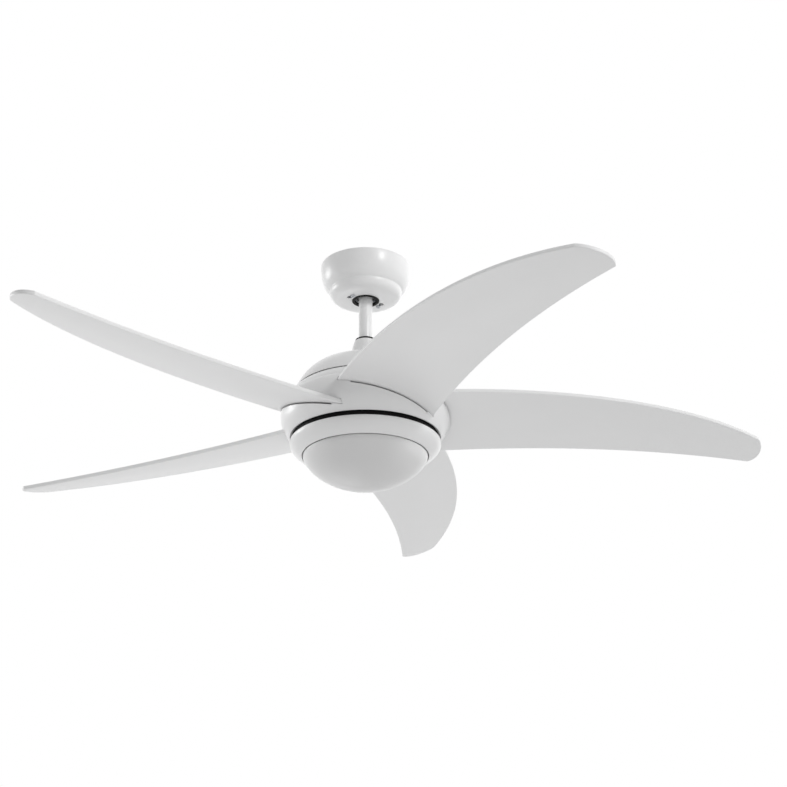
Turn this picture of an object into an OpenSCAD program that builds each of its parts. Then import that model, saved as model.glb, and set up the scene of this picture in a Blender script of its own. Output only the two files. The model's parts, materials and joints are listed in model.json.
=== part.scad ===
// Ceiling fan with five swept blades and a glass dome light.
// The ceiling plane is z = 0 and the fan hangs below it on the z axis.

/* [Fan] */
// Diameter of the circle that the blade tips sweep
fan_d = 1320; // [1200:10:1400]
// Height of the blade plane below the ceiling
blade_drop = 274.8; // [270:0.1:280]
// Pitch of each blade about its own length
blade_pitch = 13.4; // [10:0.1:15]
// Angle by which each blade rises towards its tip
blade_rise = 0.6; // [0:0.1:1]
// Thickness of a blade
blade_t = 6.5; // [5:0.1:7]
// Direction of the first blade, turned about the z axis
first_blade = 4.4; // [0:0.1:71.9]

/* [Canopy and downrod] */
// Diameter of the canopy's rim at the ceiling
canopy_d = 146.6; // [144:0.1:150]
// Height of the canopy
canopy_h = 60; // [60:1:62]
// Outer diameter of the downrod
rod_d = 22; // [21:0.1:22]
// Diameter of the hanger ball
ball_d = 46; // [45:0.1:47]

/* [Motor housing] */
// Largest diameter of the rotating housing
housing_d = 268; // [266:1:272]
// Diameter of the fixed upper housing at the seam
seam_d = 224.8; // [222:0.1:226]
// Thickness of the sheet metal shells
shell_t = 1.5; // [1.2:0.1:1.8]
// Diameter of the motor's shells
motor_d = 168; // [160:1:170]

/* [Light] */
// Diameter of the light ring at its top edge
ring_d = 238; // [236:1:240]
// Diameter of the glass where it leaves the light ring
glass_d = 196.6; // [195:0.1:197]
// Wall thickness of the glass dome
glass_t = 3; // [2.5:0.1:3.5]
// Depth of the glass dome below the light ring
glass_h = 51.6; // [48:0.1:54]

/* [Hidden] */
$fn = 96;
blade_count = 5;
blade_z = -blade_drop;
gap = 0.3;                  // clear space between parts that move past each other
fit = 0.05;                 // radial clearance of a shaft in its bore
eps = 0.01;                 // overshoot of a cut past the face it opens

// Ceiling bracket and canopy
plate_t = 2.5;
bracket_l = 120;
bracket_w = 36;
ceiling_hole_pitch = 90;
ceiling_slot_l = 12;
ceiling_slot_w = 5.5;
arm_x = 31;                 // inner face of each bracket arm
arm_w = 24;
ball_r = ball_d / 2;
ball_z = -38;
seat_top = ball_z - 9;
seat_bottom = ball_z - 16.5;
ear_top = seat_top - 1;     // top of the two ears that take the canopy's screws
seat_r = 27;
seat_a = 50;                // angle below the ball's centre at which it rests on its seat
canopy_t = 1.2;
canopy_hole_r = 20;
canopy_screw_r = 28.5;      // distance of each canopy screw from the axis
canopy_screw_a = 44;        // its direction
keyhole_a = -18;            // turn from the screw to the keyhole's wide end
collar_r = 17.5;

// Downrod, yoke and its cover
rod_r = rod_d / 2;
rod_bore_r = 8.5;
rod_top = ball_z + 8;
rod_bottom = -165;
yoke_top = -140;
yoke_r = 16;
yoke_flange_r = 44;
yoke_flange_t = 4;
dome_top = -175.5;          // flat top of the upper housing
yoke_face = dome_top - shell_t;
yoke_pin_z = -152;
cover_top = -134.5;
cover_bottom = dome_top + gap;
cover_t = 1.2;
bush_r = 16.5;

// Motor
shaft_r = 8.5;
shaft_bore_r = 5.5;
shaft_top = -171;
shaft_bottom = -314;
motor_r = motor_d / 2;
motor_wall = 3.5;
motor_top = -197;
motor_bottom = -264;
motor_mid = -229;
motor_flange_r = motor_r + 8;
motor_flange_t = 3;
bearing_r = 17.5;
bearing_h = 11;
boss_r = 21;
stator_r = motor_r - motor_wall - 10;
stator_h = 16;
slot_count = 12;

// Rotating housing and fixed upper housing
seam_z = -224;
seam_gap = 2.5;
crease_r = 125.5;
crease_z = -241.5;
housing_r = housing_d / 2;
housing_bottom_r = 119.3;
housing_bottom = -302.1;
housing_floor = -299.4;
housing_hub = -276;         // underside of the housing's fixing ring

// Light
light_top = -309.5;
light_plate_t = 2;
light_plate_r = 115.5;
light_plate_rim = -300.9;   // top of the plate's rim, which closes the gap under the housing
ring_r = ring_d / 2;
glass_r = glass_d / 2;
glass_z = -332.9;
neck_r = glass_r - 6;
shelf_top = light_top - 12;
pan_z = light_top - 5;
lamp_z = -338;
lamp_y = 30;

// Blade, in its own plane: x runs out along the blade, y towards its trailing edge
blade_r = fan_d / 2;
root_x = 93;
tip_x = blade_r - 20;
blade_screw_at = [[102, -18], [102, 18], [116, 0]];
bracket_screw_at = [[70, -12], [70, 12]];
leading = [[root_x, -88], [250, -102], [480, -88], [tip_x, 19]];
trailing = [[tip_x - 4, 83], [450, 49], [270, 50], [root_x, 73.5]];
slot_clear = 0.5;           // clear space round a blade where it enters the housing
slot_end = 150;             // distance from the axis at which the cut for a slot stops
slit_from = -72;            // the wider slit under a blade runs between these two
slit_to = 58;
slit_below = 2.5;

// Points on a cubic curve through its four control points
function curve_point(p, t) = pow(1 - t, 3) * p[0] + 3 * t * pow(1 - t, 2) * p[1]
    + 3 * t * t * (1 - t) * p[2] + t * t * t * p[3];
function curve(p, n = 12) = [for (i = [0:n]) curve_point(p, i / n)];
function reversed(p) = [for (i = [len(p) - 1:-1:0]) p[i]];

// Outer profiles, as [radius, height]
canopy_r = canopy_d / 2;
dish_r = canopy_r - 14.6;
bowl = [[canopy_r, 0], [canopy_r, -22], [canopy_r - 3.5, -34], [dish_r + 2.5, -canopy_h + 18]];
dish = [[dish_r, -canopy_h + 16.2], [dish_r, -canopy_h + 4], [dish_r - 8, -canopy_h],
    [dish_r - 25, -canopy_h]];
cover_side = [[bush_r + 1.2, cover_top], [20, cover_top - 2.5], [22.5, cover_top - 21.5],
    [29, cover_bottom]];
seam_r = seam_d / 2;
dome_side = [[44, dome_top], [78, dome_top], [101, -196], [seam_r, seam_z]];
top_cover_side = [[seam_r + 0.6, seam_z - seam_gap], [118, -230], [122, -235],
    [crease_r - 0.8, crease_z + 0.6]];
belly_upper = [[crease_r, crease_z], [130.8, -245], [housing_r, -255], [housing_r, -270]];
belly_lower = [[housing_r, -270], [housing_r, -282], [127, -294],
    [housing_bottom_r, housing_bottom]];
ring_side = [[ring_r, light_top - 1], [ring_r + 2, light_top - 8],
    [ring_r - 8, light_top - 17.5], [glass_r + 1.3, glass_z + 0.2]];
glass_side = [[glass_r, glass_z], [glass_r - 4, glass_z - 20.6],
    [glass_r - 48, glass_z - glass_h], [0, glass_z - glass_h]];

// The outline of a slot: the blade's two edges near its root, each a little further out
slot_outline = concat(
    [for (p = curve(leading, 48)) if (p[0] < slot_end) p - [0, slot_clear]],
    [for (p = curve(trailing, 48)) if (p[0] < slot_end) p + [0, slot_clear]]);

// The four control points of a profile, each moved by d
function moved(p, d) = [for (q = p) q + d];

module spun(points) {
    rotate_extrude($fn = 144) polygon(points);
}

module tube(r, bore, top, bottom) {
    spun([[bore, bottom], [r, bottom], [r, top], [bore, top]]);
}

module at_angle(a, r) {
    rotate([0, 0, a]) translate([r, 0, 0]) children();
}

// A pan-head screw along -z: its head's flat face is at the origin and its shank points up
module screw(shank_r, shank_l, head_r, head_h) {
    cylinder(r = shank_r, h = shank_l, $fn = 24);
    difference() {
        translate([0, 0, -head_h]) cylinder(r = head_r, h = head_h, $fn = 32);
        for (a = [0, 90])
            rotate([0, 0, a]) translate([-head_r * 0.6, -0.4, -head_h - eps])
                cube([head_r * 1.2, 0.8, head_h * 0.5]);
    }
}

// ---- Held by the ceiling ----

// Radius of the conical seat that the hanger ball touches, at height z
function seat_cone_r(z) = (ball_r + 0.1 + (z - ball_z) * cos(seat_a)) / sin(seat_a);

module bracket_slot(x) {
    translate([x, 0, -plate_t - eps]) linear_extrude(plate_t + 2 * eps)
        union() {
            square([ceiling_slot_l - ceiling_slot_w, ceiling_slot_w], center = true);
            for (s = [-1, 1])
                translate([s * (ceiling_slot_l - ceiling_slot_w) / 2, 0])
                    circle(d = ceiling_slot_w, $fn = 32);
        }
}

module hanger_bracket() {
    color("lightsteelblue") difference() {
        union() {
            translate([-bracket_l / 2, -bracket_w / 2, -plate_t])
                cube([bracket_l, bracket_w, plate_t]);
            for (s = [-1, 1]) {
                translate([s * (arm_x + plate_t / 2) - plate_t / 2, -arm_w / 2, seat_bottom])
                    cube([plate_t, arm_w, -seat_bottom - plate_t / 2]);
                translate([s * (arm_x + seat_r - 5) / 2 - (arm_x - seat_r + 7) / 2, -arm_w / 2,
                    seat_bottom])
                    cube([arm_x - seat_r + 7, arm_w, plate_t]);
            }
            spun([[seat_cone_r(seat_bottom), seat_bottom], [seat_r, seat_bottom],
                [seat_r, seat_top], [seat_cone_r(seat_top), seat_top]]);
            for (a = [0, 180])
                at_angle(canopy_screw_a + a, canopy_screw_r)
                    translate([0, 0, -canopy_h + canopy_t + gap])
                        cylinder(r = 5, h = ear_top + canopy_h - canopy_t - gap, $fn = 32);
        }
        for (x = [-ceiling_hole_pitch / 2, ceiling_hole_pitch / 2]) bracket_slot(x);
        translate([0, 0, -plate_t - eps]) cylinder(r = 14, h = plate_t + 2 * eps);
        // The mouth through which the downrod slides in sideways
        translate([-rod_r - 1, 0, seat_bottom - eps])
            cube([rod_d + 2, seat_r + 5, seat_top - seat_bottom + 2 * eps]);
        for (a = [0, 180])
            at_angle(canopy_screw_a + a, canopy_screw_r) translate([0, 0, -canopy_h])
                cylinder(r = 2 + fit, h = canopy_h + ear_top - 1, $fn = 24);
        translate([-52, 11, -plate_t - eps]) cylinder(r = 2 + fit, h = plate_t + 1, $fn = 24);
    }
}

module keyhole() {
    z = -canopy_h - 2;
    h = 5;
    at_angle(canopy_screw_a + keyhole_a, canopy_screw_r)
        translate([0, 0, z]) cylinder(r = 4.4, h = h, $fn = 32);
    for (i = [0:3])
        at_angle(canopy_screw_a + keyhole_a * i / 3, canopy_screw_r)
            translate([0, 0, z]) cylinder(r = 2.3, h = h, $fn = 24);
    rotate([0, 0, canopy_screw_a + keyhole_a / 2])
        translate([canopy_screw_r - 2.2, -4.2, z]) cube([4.1, 8.4, h]);
}

module canopy() {
    inner_bowl = moved(bowl, [-canopy_t, 0]);
    inner_dish = moved(dish, [-canopy_t, canopy_t]);
    color("white") difference() {
        spun(concat(curve(bowl), curve(dish), [[canopy_hole_r, -canopy_h],
            [canopy_hole_r, -canopy_h + canopy_t]], reversed(curve(inner_dish)),
            reversed(curve(inner_bowl))));
        for (a = [0, 180]) rotate([0, 0, a]) keyhole();
    }
}

module canopy_collar() {
    neck = canopy_hole_r - 0.2;
    color("black") spun([[collar_r, -canopy_h - 1.2], [22, -canopy_h - 1.2],
        [22.3, -canopy_h], [neck, -canopy_h], [neck, -canopy_h + 3], [collar_r, -canopy_h + 3]]);
}

module canopy_screws() {
    color("silver") for (a = [0, 180])
        at_angle(canopy_screw_a + a, canopy_screw_r) translate([0, 0, -canopy_h - gap])
            screw(1.9, 8.5, 3.8, 2);
}

module receiver_box() {
    color("dimgray") difference() {
        union() {
            translate([-27, -24, -17.5]) cube([54, 48, 14]);
            translate([-20, 24, -13]) cube([10, 4, 6]);
            translate([10, 24, -13]) cube([10, 4, 6]);
        }
        for (i = [-2:2]) translate([i * 8 - 1.5, -24 - eps, -14]) cube([3, 1.5, 7]);
    }
}

module terminal_block() {
    color("ivory") difference() {
        translate([38, -17, -14.5]) cube([16, 10, 12]);
        for (x = [41, 46, 51])
            translate([x, -12, -15]) cylinder(r = 1.6, h = 6, $fn = 24);
    }
}

module earth_screw() {
    color("gold") translate([-52, 11, -plate_t - 0.1]) screw(1.9, 2.2, 4, 2.2);
}

// ---- Hangs from the bracket ----

module hanger_ball() {
    color("black") difference() {
        intersection() {
            translate([0, 0, ball_z]) sphere(r = ball_r);
            translate([0, 0, ball_z - 17]) cylinder(r = ball_r + 1, h = 33);
        }
        translate([0, 0, ball_z - 20]) cylinder(r = rod_r + fit, h = 40);
        translate([0, 0, ball_z]) rotate([90, 0, 0])
            cylinder(r = 3 + fit, h = ball_d, center = true, $fn = 32);
        translate([0, 0, ball_z + 4]) rotate([0, 90, 0])
            cylinder(r = 2.5 + fit, h = ball_r + 2, $fn = 32);
    }
}

module ball_pin() {
    color("silver") translate([0, 0, ball_z]) rotate([90, 0, 0])
        cylinder(r = 3, h = ball_d - 4, center = true, $fn = 32);
}

module ball_set_screw() {
    color("silver") translate([rod_r + 0.1, 0, ball_z + 4]) rotate([0, 90, 0])
        cylinder(r = 2.5, h = 8, $fn = 32);
}

module downrod() {
    color("white") difference() {
        tube(rod_r, rod_bore_r, rod_top, rod_bottom);
        for (z = [ball_z, yoke_pin_z])
            translate([0, 0, z]) rotate([90, 0, 0])
                cylinder(r = 3 + fit, h = rod_d + 2, center = true, $fn = 32);
    }
}

module yoke() {
    bore_top = rod_bottom - 0.1;
    color("gray") difference() {
        spun([[rod_r + fit, yoke_top], [yoke_r - 1, yoke_top], [yoke_r, yoke_top - 1],
            [yoke_r, yoke_face], [yoke_flange_r, yoke_face],
            [yoke_flange_r, yoke_face - yoke_flange_t],
            [shaft_r + fit, yoke_face - yoke_flange_t], [shaft_r + fit, shaft_top + 0.1],
            [shaft_bore_r, shaft_top + 0.1], [shaft_bore_r, bore_top],
            [rod_r + fit, bore_top]]);
        translate([0, 0, yoke_pin_z]) rotate([90, 0, 0])
            cylinder(r = 3 + fit, h = 2 * yoke_r + 2, center = true, $fn = 32);
        for (s = [0, 180])
            rotate([0, 0, s]) translate([rod_r - 2, 0, yoke_top - 6]) rotate([0, 90, 0])
                cylinder(r = 2.5 + fit, h = 10, $fn = 32);
        for (i = [0:3])
            at_angle(45 + 90 * i, 23) translate([0, 0, yoke_face - yoke_flange_t - eps])
                cylinder(r = 2 + fit, h = yoke_flange_t + 1, $fn = 24);
    }
}

module yoke_pin() {
    color("silver") translate([0, 0, yoke_pin_z]) rotate([90, 0, 0]) difference() {
        union() {
            cylinder(r = 3, h = 38, center = true, $fn = 32);
            translate([0, 0, -19]) cylinder(r = 4.2, h = 2, $fn = 32);
        }
        translate([0, 0, 17.4]) rotate([0, 90, 0])
            cylinder(r = 0.9, h = 10, center = true, $fn = 24);
    }
}

module yoke_clip() {
    y = -17.4;
    color("silver") difference() {
        union() {
            translate([-5, y, yoke_pin_z]) rotate([0, 90, 0]) cylinder(r = 0.7, h = 10, $fn = 24);
            translate([5.8, y, yoke_pin_z]) rotate([90, 0, 0])
                cylinder(r = 1.6, h = 1.4, center = true, $fn = 24);
        }
        translate([6, y, yoke_pin_z]) rotate([90, 0, 0])
            cylinder(r = 0.8, h = 3, center = true, $fn = 24);
    }
}

module yoke_set_screws() {
    color("dimgray") for (s = [0, 180])
        rotate([0, 0, s]) translate([rod_r + 0.1, 0, yoke_top - 6]) rotate([0, 90, 0])
            cylinder(r = 2.5, h = 6.5, $fn = 32);
}

module upper_housing() {
    vents = 24;
    vent_from = 58;
    vent_to = 75;
    wall = concat([[yoke_r + 0.3, dome_top]], curve(dome_side, 16));
    lining = concat([[yoke_r + 0.3, dome_top - shell_t]],
        curve([dome_side[0] + [0, -shell_t], dome_side[1] + [-0.5, -shell_t],
            dome_side[2] + [-1.3, -0.8], dome_side[3] + [-shell_t, 0]], 16));
    color("white") difference() {
        spun(concat(wall, reversed(lining)));
        for (i = [0:3])
            at_angle(45 + 90 * i, 23) translate([0, 0, dome_top - 3])
                cylinder(r = 2 + fit, h = 5, $fn = 24);
        for (i = [0:vents - 1])
            rotate([0, 0, 360 * (i + 0.5) / vents]) {
                translate([vent_from, -2, dome_top - 16])
                    cube([vent_to - vent_from, 4, 20]);
                for (x = [vent_from, vent_to])
                    translate([x, 0, dome_top - 16]) cylinder(r = 2, h = 20, $fn = 24);
            }
    }
}

module upper_housing_screws() {
    color("silver") for (i = [0:3])
        at_angle(45 + 90 * i, 23) translate([0, 0, dome_top]) mirror([0, 0, 1])
            screw(2, 5.2, 3.6, 2);
}

module motor_shaft() {
    color("silver") tube(shaft_r, shaft_bore_r, shaft_top, shaft_bottom);
}

module stator_core() {
    color("slategray") difference() {
        tube(stator_r, shaft_r + fit, motor_mid + stator_h / 2, motor_mid - stator_h / 2);
        for (i = [0:slot_count - 1])
            rotate([0, 0, i * 360 / slot_count])
                translate([stator_r - 30, -2, motor_mid - stator_h]) cube([26, 4, 2 * stator_h]);
    }
}

module stator_windings() {
    color("peru") for (s = [0, 1])
        mirror_about(motor_mid, s) translate([0, 0, motor_mid + stator_h / 2 + 0.1])
            spun([[stator_r - 30, 0], [stator_r - 6, 0], [stator_r - 6, 5],
                [stator_r - 9, 8], [stator_r - 27, 8], [stator_r - 30, 5]]);
}

module mirror_about(z, on) {
    translate([0, 0, z]) mirror([0, 0, on]) translate([0, 0, -z]) children();
}

module capacitor() {
    color("black") translate([19, -15, yoke_face - yoke_flange_t - 12]) cube([24, 30, 12]);
}

// ---- Turns with the blades ----

module motor_shell_half() {
    difference() {
        spun([[12, 0], [motor_r - 8, 0], [motor_r, -8],
            [motor_r, motor_mid - motor_top + motor_flange_t],
            [motor_flange_r, motor_mid - motor_top + motor_flange_t],
            [motor_flange_r, motor_mid - motor_top],
            [motor_r - motor_wall, motor_mid - motor_top],
            [motor_r - motor_wall, -9.5], [motor_r - 10, -motor_wall],
            [boss_r, -motor_wall], [boss_r, -motor_wall - bearing_h],
            [bearing_r + 0.05, -motor_wall - bearing_h], [bearing_r + 0.05, -motor_wall],
            [12, -motor_wall]]);
        for (i = [0:5])
            at_angle(30 + 60 * i, motor_r + 4.2)
                translate([0, 0, motor_mid - motor_top - 1])
                    cylinder(r = 1.5 + fit, h = motor_flange_t + 2, $fn = 24);
    }
}

module motor_top_shell() {
    color("lightgray") translate([0, 0, motor_top]) motor_shell_half();
}

module motor_bottom_shell() {
    depth = motor_mid - motor_bottom;
    color("lightgray") difference() {
        translate([0, 0, motor_bottom]) spun([[12, 0], [motor_r - 6, 0], [motor_r, 6],
            [motor_r, depth - motor_flange_t], [motor_flange_r, depth - motor_flange_t],
            [motor_flange_r, depth], [motor_r - motor_wall, depth],
            [motor_r - motor_wall, 7.5], [motor_r - 7.5, motor_wall], [boss_r, motor_wall],
            [boss_r, motor_wall + bearing_h], [bearing_r + 0.05, motor_wall + bearing_h],
            [bearing_r + 0.05, motor_wall], [12, motor_wall]]);
        for (i = [0:5])
            at_angle(30 + 60 * i, motor_r + 4.2) translate([0, 0, motor_mid - 5])
                cylinder(r = 1.5 + fit, h = 6, $fn = 24);
        for (k = [0:blade_count - 1])
            rotate([0, 0, blade_angle(k)])
                for (p = bracket_screw_at)
                    translate([p[0], p[1], motor_bottom - 1]) cylinder(r = 2 + fit, h = 6, $fn = 24);
        for (a = housing_screw_angles)
            at_angle(a, 45) translate([0, 0, motor_bottom - 1])
                cylinder(r = 2 + fit, h = 6, $fn = 24);
    }
}

housing_screw_angles = [40, 160, 280];
function blade_angle(k) = first_blade + k * 360 / blade_count;

module bearing(z) {
    color("silver") translate([0, 0, z]) difference() {
        spun([[shaft_r + fit, 0], [bearing_r, 0], [bearing_r, bearing_h],
            [shaft_r + fit, bearing_h]]);
        for (h = [-1, bearing_h - 0.8])
            translate([0, 0, h]) difference() {
                cylinder(r = bearing_r - 2.5, h = 1.8);
                translate([0, 0, -1]) cylinder(r = shaft_r + 2.5, h = 4);
            }
    }
}

module upper_bearing() {
    bearing(motor_top - motor_wall - bearing_h);
}

module lower_bearing() {
    bearing(motor_bottom + motor_wall);
}

module rotor_cage() {
    color("dimgray") tube(motor_r - motor_wall - 0.05, stator_r + 0.5, motor_mid + 12,
        motor_mid - 12);
}

module motor_screws() {
    color("silver") for (i = [0:5])
        at_angle(30 + 60 * i, motor_r + 4.2)
            translate([0, 0, motor_mid - motor_flange_t]) screw(1.5, 7.5, 3, 1.8);
}

module rotor_top_cover() {
    web_top = motor_mid + motor_flange_t + shell_t;
    lip_r = crease_r - shell_t - 0.1;
    inner = curve([top_cover_side[0] + [-0.2, -shell_t - 0.6],
        top_cover_side[1] + [-1.4, -0.9], top_cover_side[2] + [-1.4, -0.7],
        [lip_r - shell_t, crease_z + 0.4]], 10);
    color("white") difference() {
        spun(concat([[motor_r + 0.6, web_top], [seam_r - 2, web_top]],
            curve(top_cover_side, 10), [[crease_r - 0.8, crease_z + 0.1],
            [lip_r, crease_z + 0.1], [lip_r, crease_z - 3],
            [lip_r - shell_t, crease_z - 3]], reversed(inner),
            [[seam_r - 2, web_top - shell_t], [motor_r + 0.6, web_top - shell_t]]));
        for (i = [0:5])
            at_angle(30 + 60 * i, motor_r + 4.2) translate([0, 0, web_top - 4])
                cylinder(r = 1.5 + fit, h = 6, $fn = 24);
    }
}

// Puts its children in the plane of blade k
module in_blade_plane(k) {
    rotate([0, 0, blade_angle(k)]) translate([0, 0, blade_z]) rotate([0, -blade_rise, 0])
        rotate([-blade_pitch, 0, 0]) children();
}

module rotor_housing() {
    outer = concat(curve(belly_upper, 10), curve(belly_lower, 12));
    inner_lower = [belly_lower[0] + [-shell_t, 0], belly_lower[1] + [-shell_t, 0],
        belly_lower[2] + [-shell_t, 0.9], belly_lower[3] + [-0.8, shell_t]];
    // The lining stops at the floor, which stands a little above the skirt's lower edge
    inner = concat(curve(moved(belly_upper, [-shell_t, 0]), 10),
        [for (i = [0:10]) curve_point(inner_lower, 0.087 * i)]);
    color("white") difference() {
        union() {
            spun(concat(outer, [[housing_bottom_r - 1.6, housing_bottom],
                [housing_bottom_r + 0.6, housing_floor], [99, housing_floor],
                [62, housing_hub], [30, housing_hub], [30, housing_hub + shell_t],
                [61.3, housing_hub + shell_t], [98.3, housing_floor + shell_t]],
                reversed(inner)));
            for (a = housing_screw_angles)
                at_angle(a, 45) translate([0, 0, housing_hub + 0.5])
                    cylinder(r = 5, h = motor_bottom - housing_hub - 0.5, $fn = 32);
        }
        for (k = [0:blade_count - 1]) in_blade_plane(k) {
            translate([0, 0, -blade_t / 2 - slot_clear])
                linear_extrude(blade_t + 2 * slot_clear) polygon(slot_outline);
            translate([root_x, slit_from, -blade_t / 2 - slit_below])
                cube([slot_end - root_x, slit_to - slit_from, slit_below]);
        }
        for (a = housing_screw_angles)
            at_angle(a, 45) translate([0, 0, housing_hub - 1])
                cylinder(r = 2 + fit, h = 20, $fn = 24);
    }
}

module housing_screws() {
    color("silver") for (a = housing_screw_angles)
        at_angle(a, 45) translate([0, 0, housing_hub]) screw(2, 15, 3.6, 2);
}

module blade_bracket(k) {
    under = blade_t / 2;
    color("gainsboro") difference() {
        union() {
            rotate([0, 0, blade_angle(k)]) translate([58, -20, motor_bottom - 3])
                cube([44, 36, 3]);
            in_blade_plane(k) translate([88, -34, under]) cube([38, 68, 3]);
        }
        in_blade_plane(k) {
            for (p = blade_screw_at)
                translate([p[0], p[1], 0]) cylinder(r = 2 + fit, h = 40, $fn = 24);
            translate([60, -60, -20 + under]) cube([100, 120, 20]);
        }
        rotate([0, 0, blade_angle(k)])
            for (p = bracket_screw_at)
                translate([p[0], p[1], motor_bottom - 10]) cylinder(r = 2 + fit, h = 12, $fn = 24);
    }
}

module bracket_screws() {
    color("silver") for (k = [0:blade_count - 1])
        rotate([0, 0, blade_angle(k)])
            for (p = bracket_screw_at)
                translate([p[0], p[1], motor_bottom - 3]) screw(2, 7.5, 3.6, 2);
}

module blade_screws() {
    color("silver") for (k = [0:blade_count - 1])
        in_blade_plane(k)
            for (p = blade_screw_at)
                translate([p[0], p[1], -blade_t / 2]) screw(2, blade_t + 3, 4, 2);
}

module blade(k) {
    tip = [[tip_x, 19], [tip_x + 12, 28], [tip_x + 24, 72], [tip_x - 1, 83.5]];
    color("whitesmoke") in_blade_plane(k) difference() {
        translate([0, 0, -blade_t / 2]) linear_extrude(blade_t)
            polygon(concat(curve(leading, 24), curve(tip, 12), curve(trailing, 24)));
        for (p = blade_screw_at)
            translate([p[0], p[1], -blade_t]) cylinder(r = 2 + fit, h = 2 * blade_t, $fn = 24);
    }
}

// ---- Light, held by the motor's shaft ----

module light_kit_plate() {
    color("black") difference() {
        spun([[shaft_r + fit, light_top], [light_plate_r, light_top],
            [light_plate_r, light_plate_rim], [light_plate_r - shell_t, light_plate_rim],
            [light_plate_r - shell_t, light_top + light_plate_t],
            [shaft_r + fit, light_top + light_plate_t]]);
        for (i = [0:2]) {
            at_angle(60 + 120 * i, 105) translate([0, 0, light_top - 1])
                cylinder(r = 2 + fit, h = 6, $fn = 24);
            at_angle(120 * i, 70) translate([0, 0, light_top - 1])
                cylinder(r = 1.5 + fit, h = 6, $fn = 24);
        }
    }
}

module shaft_nut() {
    color("silver") translate([0, 0, light_top - 6]) difference() {
        cylinder(r = 13, h = 6, $fn = 6);
        translate([0, 0, -1]) cylinder(r = shaft_r + fit, h = 8);
    }
}

module light_ring() {
    inner = [ring_side[0] + [-2.2, 1 - shell_t], ring_side[1] + [-1.8, 0.5],
        ring_side[2] + [-1.2, 1], ring_side[3] + [-0.2, 1.8]];
    wall_r = neck_r + 4.4;
    color("white") difference() {
        spun(concat([[wall_r, light_top], [ring_r - 0.8, light_top]], curve(ring_side, 14),
            reversed(curve(inner, 14)), [[wall_r + shell_t, light_top - shell_t],
            [wall_r + shell_t, shelf_top - shell_t], [neck_r + 1, shelf_top - shell_t],
            [neck_r + 1, shelf_top], [wall_r, shelf_top]]));
        // Three gaps in the shelf that let the glass dome's lugs through
        for (i = [0:2])
            rotate([0, 0, 120 * i - 30]) pie_cut(15, neck_r - 1, wall_r - 0.1, shelf_top + 1,
                shelf_top - shell_t - 1);
        for (i = [0:2])
            at_angle(60 + 120 * i, 105) translate([0, 0, light_top - 4])
                cylinder(r = 2 + fit, h = 6, $fn = 24);
    }
}

// A ring segment from -half to half degrees
module pie_cut(half, r_in, r_out, top, bottom) {
    reach = 2 * r_out;
    intersection() {
        tube(r_out, r_in, top, bottom);
        translate([0, 0, bottom - 1]) linear_extrude(top - bottom + 2)
            polygon([[0, 0], [reach * cos(half), -reach * sin(half)], [reach, 0],
                [reach * cos(half), reach * sin(half)]]);
    }
}

module light_ring_screws() {
    color("silver") for (i = [0:2])
        at_angle(60 + 120 * i, 105) translate([0, 0, light_top - shell_t])
            screw(2, shell_t + light_plate_t + 0.5, 3.6, 2);
}

module lamp_pan() {
    color("white") difference() {
        union() {
            tube(neck_r - glass_t - 2, 20, pan_z + shell_t, pan_z);
            for (i = [0:2])
                at_angle(120 * i, 70) translate([0, 0, pan_z])
                    cylinder(r = 4, h = light_top - pan_z, $fn = 32);
        }
        for (i = [0:2])
            at_angle(120 * i, 70) translate([0, 0, pan_z - 1])
                cylinder(r = 1.5 + fit, h = 8, $fn = 24);
    }
}

module lamp_pan_screws() {
    color("silver") for (i = [0:2])
        at_angle(120 * i, 70) translate([0, 0, pan_z]) screw(1.5, light_top - pan_z + 3, 3, 1.8);
}

module lamp_holder() {
    translate([0, lamp_y, lamp_z]) difference() {
        union() {
            translate([-46, 0, 0]) rotate([0, 90, 0]) cylinder(r = 13, h = 30, $fn = 48);
            translate([-42, -7, 0]) cube([22, 14, pan_z - lamp_z]);
        }
        translate([-38, 0, 0]) rotate([0, 90, 0]) cylinder(r = 7.3, h = 30, $fn = 48);
    }
}

module lamp_holder_1() {
    color("ivory") lamp_holder();
}

module lamp_holder_2() {
    color("ivory") rotate([0, 0, 180]) lamp_holder();
}

module bulb() {
    globe_r = 22;
    globe_x = 18;
    translate([0, lamp_y, lamp_z]) rotate([0, 90, 0]) {
        translate([0, 0, -37]) cylinder(r = 7, h = 22, $fn = 48);
        translate([0, 0, -15.5]) cylinder(r1 = 10, r2 = 18.4, h = 21.4, $fn = 48);
        translate([0, 0, globe_x]) sphere(r = globe_r);
    }
}

module bulb_1() {
    color("whitesmoke") bulb();
}

module bulb_2() {
    color("whitesmoke") rotate([0, 0, 180]) bulb();
}

module glass_dome() {
    neck_top = shelf_top + 5;
    inner = [[neck_r - glass_t, glass_z - 2], [glass_r - 8, glass_z - 17],
        [glass_r - 50, glass_z - glass_h + glass_t], [0, glass_z - glass_h + glass_t]];
    color("white") union() {
        spun(concat(curve(glass_side, 20), reversed(curve(inner, 18)),
            [[neck_r - glass_t, neck_top], [neck_r, neck_top], [neck_r, glass_z + 4.5]]));
        for (i = [0:2])
            rotate([0, 0, 120 * i]) pie_cut(12, neck_r - 1, neck_r + 3.6, shelf_top + 3.2,
                shelf_top + gap);
    }
}

// ---- Slides on the downrod ----

module yoke_cover() {
    inner = [cover_side[0] + [-0.4, -1.6], cover_side[1] + [-cover_t - 0.6, -1.6],
        cover_side[2] + [-cover_t, -0.4], cover_side[3] + [-cover_t, 0]];
    color("white") spun(concat([[bush_r + 0.1, cover_top]], curve(cover_side),
        reversed(curve(inner)), [[bush_r + 0.1, cover_top - 1.6]]));
}

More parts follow.
